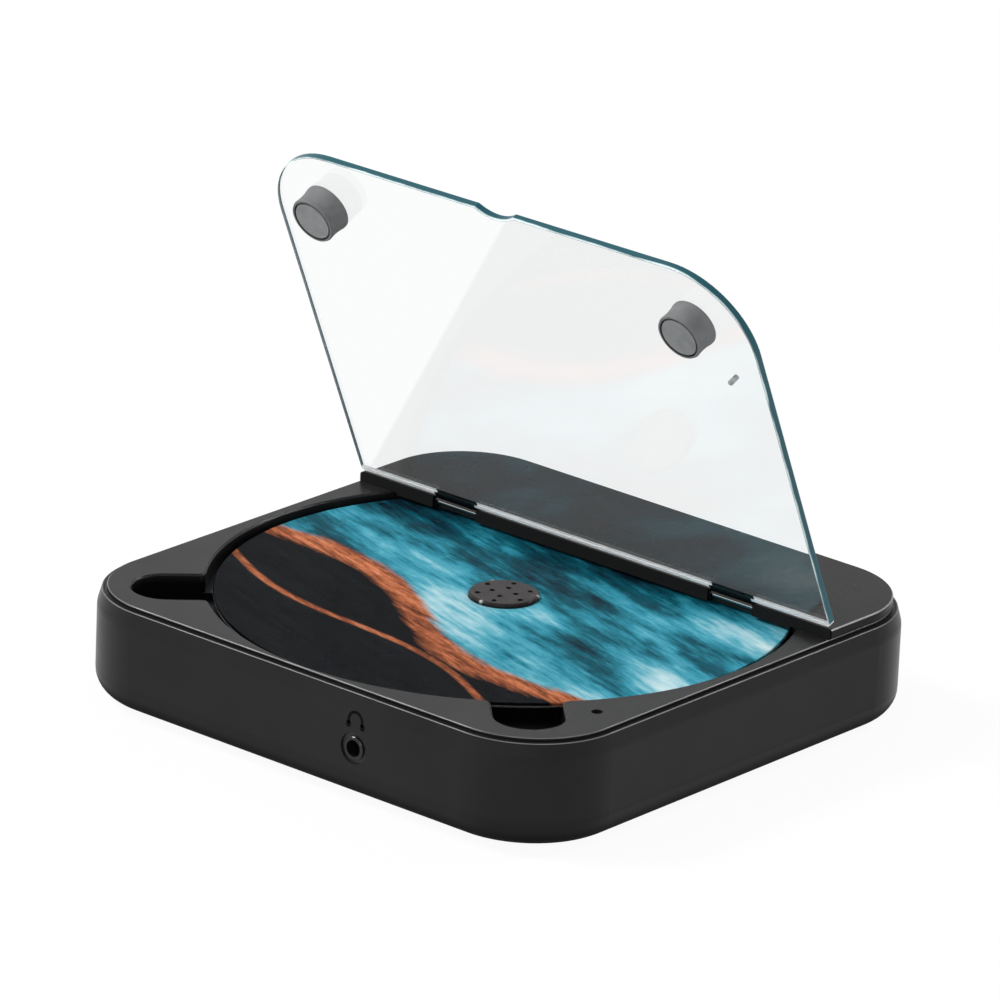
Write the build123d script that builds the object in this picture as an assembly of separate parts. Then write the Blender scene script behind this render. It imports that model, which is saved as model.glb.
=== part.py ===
from build123d import *
import math
import os

# External disc player with a hinged clear lid. Millimetres, +Z up, front face towards -Y.
# The origin is on the surface that the feet stand on, under the middle of the body.
# The lid is stored open, as far as lid_open turns it back from closed.

# Disc
disc_r = 60.0
disc_hole_r = 7.5
disc_t = 1.2
disc_chamfer = 0.15

# Body, drawn around the disc and its well
well_y = 1.0
well_gap = 1.8
side_margin = 4.45
front_margin = 2.95
well_r = disc_r + well_gap
body_w = 2 * (well_r + side_margin)
body_d = 2 * (well_r - well_y + front_margin)
side_x = -body_w / 2
front_y = -body_d / 2
corner_r = 21.3
bottom_fillet = 5.5
shoulder_in = 0.9
shoulder_h = 3.2
shoulder_blend = 4.0
shoulder_chamfer = 0.12
wall = 1.4
floor_t = 1.8
foot_proud = 0.8
foot_r = 4.5
foot_recess = 0.8
foot_side_inset = 18.25
foot_front_inset = 19.75
foot_rear_inset = 23.75

# Parting line between the base shell and the deck
deck_inset = 2.0
deck_edge_h = 0.5
groove_h = 0.3
groove_inset = 2.3
skirt_gap = 0.1
skirt_t = 1.0
skirt_h = 4.0
edge_chamfer = 0.15

# Top deck
deck_t = 1.6
well_rear_gap = 0.8
well_back_gap = 0.2
well_rim_chamfer = 0.4
well_floor_t = 1.5
well_wall = 1.2
disc_drop = 1.2
disc_floor_gap = 1.7
hub_opening_gap = 1.0
notch_w = 14.5
notch_reach = 15.1
notch_mouth_r = 1.5
notch_depth = 5.5
notch_floor_t = 1.0
switch_side_inset = 9.05
switch_front_inset = 26.95
switch_hole_r = 1.2

# Rear panel
panel_depth = 35.35
panel_h = 2.0
panel_pad = 0.5
panel_chamfer = 0.28
panel_screw_side_inset = 6.25
panel_screw_front_inset = 6.6
panel_screw_rear_x = 36.0
panel_screw_rear_inset = 6.75
panel_screw_bite = 1.1

# Lid and its hinges
lid_t = 1.8
lid_gap = 0.2
lid_margin = 0.2
lid_corner_ease = 0.7
lid_rear_r = 1.0
lid_edge_chamfer = 0.2
lid_open = 66.0
thumb_w = 10.0
thumb_depth = 1.6
hinge_side_inset = 28.55
hinge_notch_w = 12.0
hinge_notch_d = 4.0
hinge_setback = 1.5
hinge_rise = 0.7
hinge_pin_r = 0.6
hinge_pin_bite = 2.5
hinge_running_gap = 0.05
clip_w = 11.0
clip_r = 1.2
clip_plate_t = 0.5
clip_margin = 0.1
clip_mouth_from = 220.0
clip_mouth_to = 320.0
lid_rear_reach = 2.1
bumper_r = 5.5
bumper_face_r = 5.3
bumper_waist = 0.3
bumper_edge = 0.4
bumper_h = 5.1
bumper_wall = 1.0
magnet_t = 3.0
magnet_recess = 0.05
magnet_step = 0.2
magnet_step_h = 0.3
lid_pin_r = 0.6
lid_pin_len = 2.4

# Turntable
hub_gap = 0.1
hub_top_rise = 0.9
hub_edge_r = 0.6
hub_dot_r = 0.6
hub_dot_depth = 0.5
hub_dot_rings = [(5.5, 6, 49.0), (2.6, 4, 20.0)]
ball_r = 0.55
ball_reach = 7.1
ball_rise = 0.45
ball_count = 3
flange_r = 14.5
flange_t = 1.6
pad_t = 0.5
pad_inner_r = 12.8
rotor_r = 6.0
shaft_r = 1.0
motor_gap = 0.6
motor_r = 9.0
motor_h = 5.8
bearing_gap = 0.05

# Pickup mechanism, laid out along its travel (u) and across it (v) from the spindle
mech_angle = 42.0
frame_bottom = 8.0
frame_top = 13.0
frame_floor = 1.6
frame_u0 = -22.0
frame_v0 = -20.5
frame_v1 = 22.0
frame_side = 2.0
web_t = 1.4
sled_bay_front = 0.5
sled_bay_rear = 0.6
frame_end_t = 2.6
rod_r = 1.0
main_rod_v = -16.0
idle_rod_v = 17.8
rod_z = 11.0
rod_bite = 1.0
slide_gap = 0.05
sled_len = 18.0
sled_lens_back = 13.0
sled_v0 = -12.5
sled_v1 = 9.5
sled_z0 = 8.8
sled_z1 = 15.5
sled_bush_r = 2.3
sled_bush_web = 1.9
sled_corner_r = 1.5
idle_arm_w = 6.0
idle_arm_h = 1.2
idle_eye_r = 1.9
lens_start = 24.2
lens_edge_margin = 4.0
screw_v = 13.5
screw_z = 13.5
screw_r = 1.25
screw_thread_depth = 0.3
screw_pitch = 3.0
screw_journal_r = 0.7
screw_block = 5.0
sled_motor_r = 3.75
sled_motor_len = 12.0
sled_motor_foot_w = 5.0
mech_headroom = 0.65
nut_reach = 0.35
nut_len = 5.0
nut_h = 2.4
lens_well_r = 3.0
lens_well_depth = 2.0
lens_base = 4.5
lens_base_v = 5.5
lens_base_corner = 1.0
lens_holder_h = 1.8
lens_r = 2.2
lens_proud = 0.4
lens_float = 0.5
slot_w = 16.0
damper_inner_u = 5.8
damper_inner_v = (5.7, 5.8)
damper_outer_u = 36.0
damper_outer_v = 4.5
damper_r = 3.4
damper_neck_r = 2.6
damper_lip = 1.1
damper_bore_r = 1.4
damper_ear_r = 4.4
post_r = 3.5

# Boards, battery, sockets and switches
board_t = 1.2
board_z = 6.8
board_left_inset = 14.25
board_right_inset = 22.25
board_front_inset = 5.75
board_d = 23.0
board_tab_inset = 2.85
board_tab_front = 5.0
board_tab_rear = 0.5
board_post_r = 2.6
board_screw_inset = 4.0
chip_places = [(18.0, 5.0, 10.0, 10.0, 1.2), (44.0, 8.0, 8.0, 6.0, 1.0), (78.0, 8.0, 8.0, 8.0, 1.2)]
capacitor_places = [(32.0, 4.0), (36.0, 4.0), (40.0, 4.0)]
capacitor_r = 1.6
capacitor_h = 4.0
jack_x = 16.7
jack_z = 11.2
jack_bore_r = 1.8
jack_bore_len = 13.0
jack_w = 7.0
jack_len = 12.3
jack_wall_gap = 0.5
jack_nose_r = 2.5
jack_nose_proud = 0.1
jack_nose_chamfer = 0.15
jack_ring_r = 3.4
jack_ring_sunk = 0.5
usb_front_inset = 26.75
usb_w = 8.94
usb_h = 3.2
usb_len = 7.3
usb_wall = 0.3
usb_tongue = 0.7
socket_gap = 0.15
battery_side_inset = 8.75
battery_x1 = -30.5
battery_front_gap = 4.8
battery_y1 = 30.0
battery_h = 5.2
button_ys = {"next_button": -16.0, "play_button": -4.0, "previous_button": 8.0}
button_z = 11.0
button_w = 8.0
button_h = 4.0
button_proud = 0.4
button_gap = 0.2
button_flange = 1.0
button_flange_t = 0.8
button_travel = 0.5
slider_y = 24.0
slider_knob_w = 5.0
slider_knob_h = 2.4
slider_travel = 3.0
slider_proud = 0.5
side_board_inset = 6.05
side_board_t = 1.2
side_board_y0 = -23.0
side_board_y1 = 33.0
side_board_h = 13.7
side_rib = 1.2
side_rib_h = 3.0
tact_w = 5.0
tact_t = 1.5
plunger_r = 1.1
plunger_sunk = 2.6
plunger_stem_r = 0.8
plunger_shoulder = 15.2
plunger_end = 12.6
switch_top = 14.2
switch_h = 4.0
switch_w = 6.4
switch_tube_r = 3.2
switch_travel = 0.6
ribbon_x = -14.0
ribbon_w = 10.0
ribbon_y0 = -10.0
ribbon_t = 0.3
ribbon_flat = 19.0
ribbon_rise = 1.0
connector_h = 2.0
connector_d = 3.2
connector_side = 1.0

# Screws
case_screw_front = (19.25, 33.75)
case_screw_rear = (16.75, 13.25)
case_boss_r = 3.2
case_boss_top = 9.0
screw_shank_r = 1.0
screw_pass_gap = 0.2
screw_bite_gap = 0.02
screw_head_r = 1.9
screw_head_h = 1.2
screw_slot_len = 2.4
screw_slot_w = 0.5
screw_slot_depth = 0.4
case_screw_recess = 2.6
case_screw_bite = 7.0
small_screw_bite = 3.0

# Places in plan worked out from the sizes above
hinge_x = -side_x - hinge_side_inset
foot_x = -side_x - foot_side_inset
foot_front_y = front_y + foot_front_inset
foot_rear_y = -front_y - foot_rear_inset
well_rear_r = disc_r + well_rear_gap
notch_tip = well_r + notch_reach
notch_run = (notch_tip - notch_w / 2) / math.sqrt(2)
bumper_x = notch_run
bumper_y = well_y - notch_run
switch_x = -side_x - switch_side_inset
switch_y = front_y + switch_front_inset
panel_front = -front_y - panel_depth
panel_screw_places = [(-side_x - panel_screw_side_inset, panel_front + panel_screw_front_inset),
                      (panel_screw_rear_x, -front_y - panel_screw_rear_inset)]
lid_corner_r = corner_r - deck_inset - lid_margin - lid_corner_ease
sled_travel = disc_r - lens_edge_margin - lens_start
web_u1 = lens_start - sled_lens_back - sled_bay_front
web_u0 = web_u1 - web_t
sled_bay_end = lens_start + sled_travel + sled_len - sled_lens_back + sled_bay_rear
frame_u1 = sled_bay_end + frame_end_t
damper_places = [(frame_u0 + damper_inner_u, frame_v0 + damper_inner_v[0]),
                 (frame_u0 + damper_inner_u, frame_v1 - damper_inner_v[1]),
                 (damper_outer_u, frame_v0 - damper_outer_v), (damper_outer_u, frame_v1 + damper_outer_v)]
board_x0 = side_x + board_left_inset
board_x1 = -side_x - board_right_inset
board_y0 = front_y + board_front_inset
board_y1 = board_y0 + board_d
board_tab_x = side_x + board_tab_inset
usb_y = front_y + usb_front_inset
case_screws = [(side * (-side_x - case_screw_front[0]), front_y + case_screw_front[1]) for side in (1, -1)]
case_screws += [(side * (-side_x - case_screw_rear[0]), -front_y - case_screw_rear[1]) for side in (1, -1)]
battery_x0 = side_x + battery_side_inset
battery_y0 = case_screws[0][1] + case_boss_r + battery_front_gap
side_board_x = side_x + side_board_inset
ribbon_x0 = ribbon_x - ribbon_w / 2
ribbon_x1 = ribbon_x + ribbon_w / 2

# Heights worked out from the sizes above, all over the surface that the feet stand on
base_z = foot_proud
mech_h = screw_z + sled_motor_r + mech_headroom
body_h = mech_h + well_floor_t + disc_floor_gap + disc_t + disc_drop
deck_z = base_z + body_h
base_top = deck_z - deck_edge_h - groove_h
deck_under = deck_z - deck_t
disc_top = deck_z - disc_drop
disc_under = disc_top - disc_t
well_floor_top = disc_under - disc_floor_gap
well_floor_under = well_floor_top - well_floor_t
notch_floor = deck_z - notch_depth
notch_under = notch_floor - notch_floor_t
panel_top = deck_z + panel_h
board_top = base_z + board_z + board_t
inner_floor = base_z + floor_t
hinge_y = panel_front + hinge_setback
hinge_z = deck_z + hinge_rise
lid_under = deck_z + lid_gap
lid_top = lid_under + lid_t
lid_rear = hinge_y - lid_rear_reach
lid_front = front_y + deck_inset + lid_margin
plunger_top = body_h - plunger_sunk


def cyl(x, y, r, z0, z1):
    return Pos(x, y, (z0 + z1) / 2) * Cylinder(r, z1 - z0)


def block(x0, x1, y0, y1, z0, z1):
    return Pos((x0 + x1) / 2, (y0 + y1) / 2, (z0 + z1) / 2) * Box(x1 - x0, y1 - y0, z1 - z0)


def outline_block(inset, z0, z1):
    # The body's plan outline moved inwards, as a prism
    plan = RectangleRounded(body_w - 2 * inset, body_d - 2 * inset, corner_r - inset)
    return Pos(0, 0, z0) * extrude(plan, z1 - z0)


def x_rod(x0, x1, y, z, r):
    return Pos((x0 + x1) / 2, y, z) * Rot(0, 90, 0) * Cylinder(r, x1 - x0)


def y_rod(x, y0, y1, z, r):
    return Pos(x, (y0 + y1) / 2, z) * Rot(90, 0, 0) * Cylinder(r, y1 - y0)


def side_prism(x, y, z, face, length):
    # A face drawn with its width along Y and its height along Z, drawn out towards +X
    return extrude(Plane(origin=(x, y, z), x_dir=(0, 1, 0), z_dir=(1, 0, 0)) * face, length)


def screw(x, y, seat, shank_end, up=True):
    # A screw whose head bears at height seat and whose shank ends at shank_end
    head_end = seat - screw_head_h if up else seat + screw_head_h
    head = cyl(x, y, screw_head_r, min(seat, head_end), max(seat, head_end))
    shank = cyl(x, y, screw_shank_r, min(seat, shank_end), max(seat, shank_end))
    slot = block(x - screw_slot_len / 2, x + screw_slot_len / 2, y - screw_slot_w / 2, y + screw_slot_w / 2,
                 head_end - screw_slot_depth, head_end + screw_slot_depth)
    return head + shank - slot


def on_mech(shape):
    # Turns a piece laid out along the pickup's travel into the body's frame
    return Pos(0, well_y, 0) * Rot(0, 0, mech_angle) * shape


def mech_place(u, v):
    turn = math.radians(mech_angle)
    return u * math.cos(turn) - v * math.sin(turn), well_y + u * math.sin(turn) + v * math.cos(turn)


def edges_at(shape, z):
    return shape.edges().filter_by(lambda e: abs(e.center().Z - z) < 1e-3 and e.bounding_box().size.Z < 1e-3)


def save(name, shape):
    solids = shape.solids()
    export_step(solids[0] if len(solids) == 1 else Compound(children=list(solids)), f"parts/{name}.step")


def side_holes():
    # Cut-outs of the left wall: buttons, slide switch and the power and data inlet
    through = (side_x - 2, side_x + wall + 2)
    cuts = [
        block(*through, y - button_w / 2 - button_gap, y + button_w / 2 + button_gap,
              base_z + button_z - button_h / 2 - button_gap, base_z + button_z + button_h / 2 + button_gap)
        for y in button_ys.values()
    ]
    half = (slider_knob_w + slider_travel) / 2 + button_gap
    tall = slider_knob_h / 2 + button_gap
    middle = slider_y + slider_travel / 2
    cuts.append(block(*through, middle - half, middle + half,
                      base_z + button_z - tall, base_z + button_z + tall))
    usb_z = board_top + usb_h / 2
    port = RectangleRounded(usb_w + 2 * socket_gap, usb_h + 2 * socket_gap, usb_h / 2)
    cuts.append(side_prism(side_x - 2, usb_y, usb_z, port, wall + 4))
    return cuts


def base_shell():
    slope = math.degrees(math.atan2(shoulder_in, shoulder_h))
    plan = RectangleRounded(body_w, body_d, corner_r)
    outer = outline_block(0, base_z, base_top - shoulder_h)
    outer += Pos(0, 0, base_top - shoulder_h) * extrude(plan, shoulder_h, taper=slope)
    outer = fillet(edges_at(outer, base_z), bottom_fillet)
    outer = fillet(edges_at(outer, base_top - shoulder_h), shoulder_blend)
    outer = chamfer(edges_at(outer, base_top), shoulder_chamfer)
    inner = outline_block(wall, inner_floor, base_top + 5)
    inner = fillet(edges_at(inner, inner_floor), bottom_fillet - wall)
    shell = outer - inner
    for x, y in case_screws:
        shell += cyl(x, y, case_boss_r, inner_floor, base_z + case_boss_top)
    for x, y in board_screws():
        shell += cyl(x, y, board_post_r, inner_floor, base_z + board_z)
    for u, v in damper_places:
        shell += cyl(*mech_place(u, v), post_r, inner_floor, base_z + frame_bottom - damper_lip)
    for y in (side_board_y0 + 3, side_board_y1 - 3):
        rib = block(side_board_x - side_rib, side_board_x + side_board_t + side_rib,
                    y - 2, y + 2, inner_floor, inner_floor + side_rib_h)
        slot = block(side_board_x, side_board_x + side_board_t, y - 3, y + 3,
                     inner_floor, inner_floor + side_rib_h + 1)
        shell += rib - slot
    for x, y in case_screws:
        shell -= cyl(x, y, screw_head_r + screw_pass_gap, base_z - 1, base_z + case_screw_recess)
        shell -= cyl(x, y, screw_shank_r + screw_pass_gap, base_z, base_z + case_boss_top + 1)
    for x, y in board_screws():
        shell -= cyl(x, y, screw_shank_r + screw_bite_gap,
                     base_z + board_z - small_screw_bite, base_z + board_z + 1)
    for u, v in damper_places:
        top = base_z + frame_bottom - damper_lip
        shell -= cyl(*mech_place(u, v), screw_shank_r + screw_bite_gap, top - small_screw_bite, top + 1)
    for x in (-foot_x, foot_x):
        for y in (foot_front_y, foot_rear_y):
            shell -= cyl(x, y, foot_r, base_z - 1, base_z + foot_recess)
    shell -= y_rod(jack_x, front_y - 2, front_y + wall + 2, base_z + jack_z, jack_ring_r)
    for cut in side_holes():
        shell -= cut
    return shell


def board_screws():
    return [(x, y) for x in (board_x0 + board_screw_inset, board_x1 - board_screw_inset)
            for y in (board_y0 + board_screw_inset, board_y1 - board_screw_inset)]


def notch_places():
    # Centres of the notches' round ends, on the diagonals in front of the well
    return [(side * notch_run, well_y - notch_run) for side in (-1, 1)]


def notch_cut(x, y, z0, z1, grow=0.0):
    # A finger notch: a slot from inside the well out to its round end
    half = notch_w / 2 + grow
    length = math.hypot(x, y - well_y) - well_r + 6
    angle = math.degrees(math.atan2(y - well_y, x))
    run = Pos(-length / 2, 0, 0) * Rectangle(length, 2 * half) + Circle(half)
    return Pos(x, y, z0) * Rot(0, 0, angle) * extrude(run, z1 - z0)


def pickup_slot(z0, z1):
    # Opening in the well's floor that the lens looks through, over its whole travel
    end = lens_start + sled_travel + lens_base + 0.5
    slot = block(0, end, -slot_w / 2, slot_w / 2, z0, z1)
    return on_mech(slot)


def top_deck():
    cap = outline_block(deck_inset, deck_z - deck_edge_h, deck_z)
    cap = chamfer(edges_at(cap, deck_z), edge_chamfer)
    neck = outline_block(groove_inset, base_top - skirt_h, deck_z - deck_edge_h)
    skirt = outline_block(wall + skirt_gap, base_top - skirt_h, base_top)
    inside = outline_block(wall + skirt_gap + skirt_t, base_top - skirt_h - 1, deck_under)
    deck = cap + neck + skirt - inside
    tub = cyl(0, well_y, well_r + well_wall, well_floor_under, deck_under + 0.1)
    for x, y in notch_places():
        tub += notch_cut(x, y, notch_under, deck_under + 0.1, grow=well_wall)
    deck += tub & outline_block(wall + skirt_gap, well_floor_under - 5, deck_under + 0.1)
    well = cyl(0, well_y, well_r, well_floor_top, deck_z + 1)
    well &= block(-body_w, body_w, -body_d, panel_front + 1.0, 0, deck_z + 2)
    rear = cyl(0, well_y, well_rear_r, well_floor_top, deck_z + 1)
    well += rear & block(-body_w, body_w, -body_d, well_y + disc_r + well_back_gap, 0, deck_z + 2)
    for x, y in notch_places():
        well += notch_cut(x, y, notch_floor, deck_z + 1)
    deck -= fillet(mouth_edges(well), notch_mouth_r)
    rim_edges = [e for e in edges_at(deck, deck_z)
                 if math.hypot(e.center().X, e.center().Y) < notch_tip + 1
                 and e.center().Y < panel_front and inside_rim(e)]
    deck = chamfer(rim_edges, well_rim_chamfer)
    deck -= cyl(0, well_y, flange_r + hub_opening_gap, well_floor_under - 1, well_floor_top + 1)
    deck -= pickup_slot(well_floor_under - 1, well_floor_top + 0.5)
    for x, y in case_screws:
        top = deck_under if y > 0 else well_floor_under
        deck += cyl(x, y, case_boss_r, base_z + case_boss_top, top)
        deck -= cyl(x, y, screw_shank_r + screw_bite_gap,
                    base_z + case_boss_top - 1, base_z + case_boss_top + case_screw_bite + 0.5)
    for x, y in panel_screws():
        deck -= cyl(x, y, screw_shank_r + screw_pass_gap, deck_under - 1, deck_z + 1)
    for side in (-1, 1):
        seat = cyl(side * bumper_x, bumper_y, magnet_r() + 1.0, notch_under - magnet_t, notch_under)
        deck += seat - cyl(side * bumper_x, bumper_y, magnet_r(), notch_under - magnet_t - 1, notch_under)
    deck += cyl(switch_x, switch_y, switch_tube_r, base_z + switch_top, deck_under)
    deck -= cyl(switch_x, switch_y, switch_hole_r, base_z + switch_top - 1, deck_z + 1)
    return deck


def mouth_edges(well):
    # The upright edges where a notch's sides meet the round well
    return [e for e in well.edges().filter_by(Axis.Z)
            if abs(math.hypot(e.center().X, e.center().Y - well_y) - well_r) < 0.01
            and e.center().Y < well_y - notch_w]


def inside_rim(edge):
    # True for the rim of the well and its notches, false for the deck's outer edge
    point = edge @ 0.5
    reach = body_w / 2 - deck_inset - 1.0 - abs(point.X)
    depth = point.Y + body_d / 2 - deck_inset - edge_chamfer - 0.05
    corner = math.hypot(max(abs(point.X) - (body_w / 2 - corner_r), 0),
                        min(point.Y + body_d / 2 - corner_r, 0))
    return reach > 0 and depth > 0 and corner < corner_r - deck_inset - 1.0


def magnet_r():
    return bumper_face_r - bumper_wall + magnet_step


def panel_screws():
    return [(side * x, y) for x, y in panel_screw_places for side in (-1, 1)]


def rear_panel():
    plate = outline_block(deck_inset, deck_z, panel_top)
    plate &= block(-body_w, body_w, panel_front, body_d, deck_z, panel_top)
    sides = [e for e in edges_at(plate, panel_top) if e.center().Y > panel_front + 0.1]
    plate = chamfer(sides, panel_chamfer)
    pad_depth = hinge_setback + hinge_pin_r + 2.0
    pad = cyl(0, well_y, well_rear_r - 0.4, deck_z - panel_pad, deck_z)
    pad &= block(-body_w, body_w, panel_front, panel_front + pad_depth, deck_z - panel_pad, deck_z)
    plate += pad
    for side in (-1, 1):
        x0 = side * hinge_x - hinge_notch_w / 2
        plate -= block(x0, x0 + hinge_notch_w, panel_front - 1, panel_front + hinge_notch_d,
                       deck_z - panel_pad - 1, panel_top + 1)
        half = hinge_notch_w / 2 + hinge_pin_bite
        plate -= x_rod(side * hinge_x - half, side * hinge_x + half, hinge_y, hinge_z, hinge_pin_r)
    for x, y in panel_screws():
        plate -= cyl(x, y, screw_shank_r + screw_bite_gap, deck_z - 1, deck_z + panel_screw_bite)
    return plate


def hinge_pin(side):
    half = hinge_notch_w / 2 + hinge_pin_bite
    return x_rod(side * hinge_x - half, side * hinge_x + half, hinge_y, hinge_z, hinge_pin_r)


def opened(shape):
    # Swings a piece drawn with the lid closed up to the stored open pose
    return shape.rotate(Axis((0, hinge_y, hinge_z), (-1, 0, 0)), lid_open)


def lid_plate():
    half = body_w / 2 - deck_inset - lid_margin
    plate = block(-half, half, lid_front, lid_rear, lid_under, lid_top)
    uprights = plate.edges().filter_by(Axis.Z).sort_by(Axis.Y)
    plate = fillet(uprights[:2], lid_corner_r)
    plate = fillet(plate.edges().filter_by(Axis.Z).sort_by(Axis.Y)[-2:], lid_rear_r)
    scallop_r = (thumb_w ** 2 / 4 + thumb_depth ** 2) / (2 * thumb_depth)
    plate -= cyl(0, lid_front + thumb_depth - scallop_r, scallop_r, lid_under - 1, lid_top + 1)
    rims = edges_at(plate, lid_under) + edges_at(plate, lid_top)
    return opened(chamfer(rims, lid_edge_chamfer))


def hinge_clip(side):
    # A snap-on hook: it grips the hinge pin and is bonded to the lid's rear edge
    x0 = side * hinge_x - clip_w / 2
    x1 = x0 + clip_w
    ring = x_rod(x0, x1, hinge_y, hinge_z, clip_r)
    web = block(x0, x1, lid_rear, hinge_y, hinge_z, lid_top - clip_margin)
    web = fillet(web.edges().filter_by(Axis.X).sort_by(Axis.Y)[-2:].sort_by(Axis.Z)[-1:], 0.7)
    web += block(x0, x1, lid_rear, lid_rear + clip_plate_t, lid_under + clip_margin, lid_top - clip_margin)
    hook = ring + web
    hook -= x_rod(x0 - 1, x1 + 1, hinge_y, hinge_z, hinge_pin_r + hinge_running_gap)
    a, b = math.radians(clip_mouth_from), math.radians(clip_mouth_to)
    far = 2 * clip_r
    mouth = Polyline((0, 0), (far * math.cos(a), far * math.sin(a)),
                     (far * math.cos(b), far * math.sin(b)), (0, 0))
    hook -= side_prism(x0 - 1, hinge_y, hinge_z, make_face(mouth), x1 - x0 + 2)
    return opened(hook)


def bumper(side):
    # A cup with a drawn-in waist, hollow towards the deck
    top, bottom, r = lid_under, lid_under - bumper_h, bumper_r
    upper, lower = top - bumper_edge, bottom + bumper_edge
    waist = ThreePointArc((r, upper), (r - bumper_waist, (upper + lower) / 2), (bumper_face_r, lower))
    profile = Polyline((0, bottom), (0, top), (r, top), (r, upper)) + waist
    profile += Polyline((bumper_face_r, lower), (bumper_face_r - bumper_edge / 2, bottom), (0, bottom))
    cup = revolve(Plane.XZ * make_face(profile), Axis.Z)
    cup -= cyl(0, 0, magnet_r(), bottom - 1, bottom + magnet_recess + magnet_t)
    return opened(Pos(side * bumper_x, bumper_y, 0) * cup)


def lid_magnet(side):
    bottom = lid_under - bumper_h + magnet_recess
    body = cyl(side * bumper_x, bumper_y, magnet_r(), bottom + magnet_step_h, bottom + magnet_t)
    body += cyl(side * bumper_x, bumper_y, magnet_r() - magnet_step, bottom, bottom + magnet_step_h)
    return opened(body)


def catch_magnet(side):
    return cyl(side * bumper_x, bumper_y, magnet_r(), notch_under - magnet_t, notch_under)


def lid_pin():
    pin = cyl(switch_x, switch_y, lid_pin_r, lid_under - lid_pin_len, lid_under)
    return opened(chamfer(edges_at(pin, lid_under - lid_pin_len), 0.2))


def compact_disc():
    disc = cyl(0, well_y, disc_r, disc_under, disc_top)
    disc = chamfer(disc.edges(), disc_chamfer)
    return disc - cyl(0, well_y, disc_hole_r, disc_under - 1, disc_top + 1)


def ball_places():
    return [(ball_reach * math.cos(math.radians(a)), well_y + ball_reach * math.sin(math.radians(a)))
            for a in (30 + 360 / ball_count * k for k in range(ball_count))]


def turntable_hub():
    flange_top = disc_under - pad_t
    hub_r = disc_hole_r - hub_gap
    cap = cyl(0, well_y, hub_r, flange_top, disc_top + hub_top_rise)
    cap = fillet(edges_at(cap, disc_top + hub_top_rise), hub_edge_r)
    hub = cap + cyl(0, well_y, flange_r, flange_top - flange_t, flange_top)
    hub += cyl(0, well_y, rotor_r, motor_top() + motor_gap, flange_top - flange_t)
    hub -= cyl(0, well_y, shaft_r, 0, disc_top)
    for ring, count, first in hub_dot_rings:
        for k in range(count):
            a = math.radians(first + 360 / count * k)
            hub -= cyl(ring * math.cos(a), well_y + ring * math.sin(a), hub_dot_r,
                       disc_top + hub_top_rise - hub_dot_depth, disc_top + hub_top_rise + 1)
    for x, y in ball_places():
        hub -= Pos(x, y, disc_top + ball_rise) * Sphere(ball_r)
    return hub


def hub_balls():
    return Compound(children=[Pos(x, y, disc_top + ball_rise) * Sphere(ball_r) for x, y in ball_places()])


def turntable_pad():
    ring = cyl(0, well_y, flange_r, disc_under - pad_t, disc_under)
    return ring - cyl(0, well_y, pad_inner_r, disc_under - pad_t - 1, disc_under + 1)


def motor_top():
    return base_z + frame_bottom + frame_floor + motor_h


def spindle_shaft():
    return cyl(0, well_y, shaft_r, base_z + frame_bottom + frame_floor + 0.3, disc_top)


def spindle_motor():
    bottom = base_z + frame_bottom + frame_floor
    can = cyl(0, well_y, motor_r, bottom, motor_top())
    can = fillet(edges_at(can, motor_top()), 0.8)
    return can - cyl(0, well_y, shaft_r + bearing_gap, bottom + 0.3, motor_top() + 1)


def mechanism_chassis():
    z0, z1 = base_z + frame_bottom, base_z + frame_top
    frame = block(frame_u0, frame_u1, frame_v0, frame_v1, z0, z1)
    for u, v in damper_places:
        frame += cyl(u, v, damper_ear_r, z0, z0 + frame_floor)
        if v < frame_v0 or v > frame_v1:
            side_v = frame_v0 + 1 if v < frame_v0 else frame_v1 - 1
            frame += block(u - damper_ear_r, u + damper_ear_r, min(v, side_v), max(v, side_v),
                           z0, z0 + frame_floor)
    frame -= block(web_u1, sled_bay_end, frame_v0 + frame_side, frame_v1 - frame_side, z0 - 1, z1 + 1)
    frame -= block(frame_u0 + frame_side, web_u0, frame_v0 + frame_side, frame_v1 - frame_side,
                   z0 + frame_floor, z1 + 1)
    frame += block(sled_bay_end, frame_u1, screw_v - screw_block / 2, screw_v + screw_block / 2,
                   z1, base_z + screw_z + 2.0)
    for v in (main_rod_v, idle_rod_v):
        frame -= x_rod(web_u0 - 1, frame_u1 - rod_bite, v, base_z + rod_z, rod_r)
    frame -= x_rod(web_u0 - 1, web_u1 + 1, screw_v, base_z + screw_z, screw_r + 0.4)
    frame -= x_rod(sled_bay_end - 1, frame_u1 - 0.8, screw_v, base_z + screw_z,
                   screw_journal_r + bearing_gap)
    for u, v in damper_places:
        frame -= cyl(u, v, damper_neck_r, z0 - 1, z0 + frame_floor + 0.5)
    return on_mech(frame)


def guide_rod(v):
    return on_mech(x_rod(web_u0, frame_u1 - rod_bite, v, base_z + rod_z, rod_r))


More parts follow.
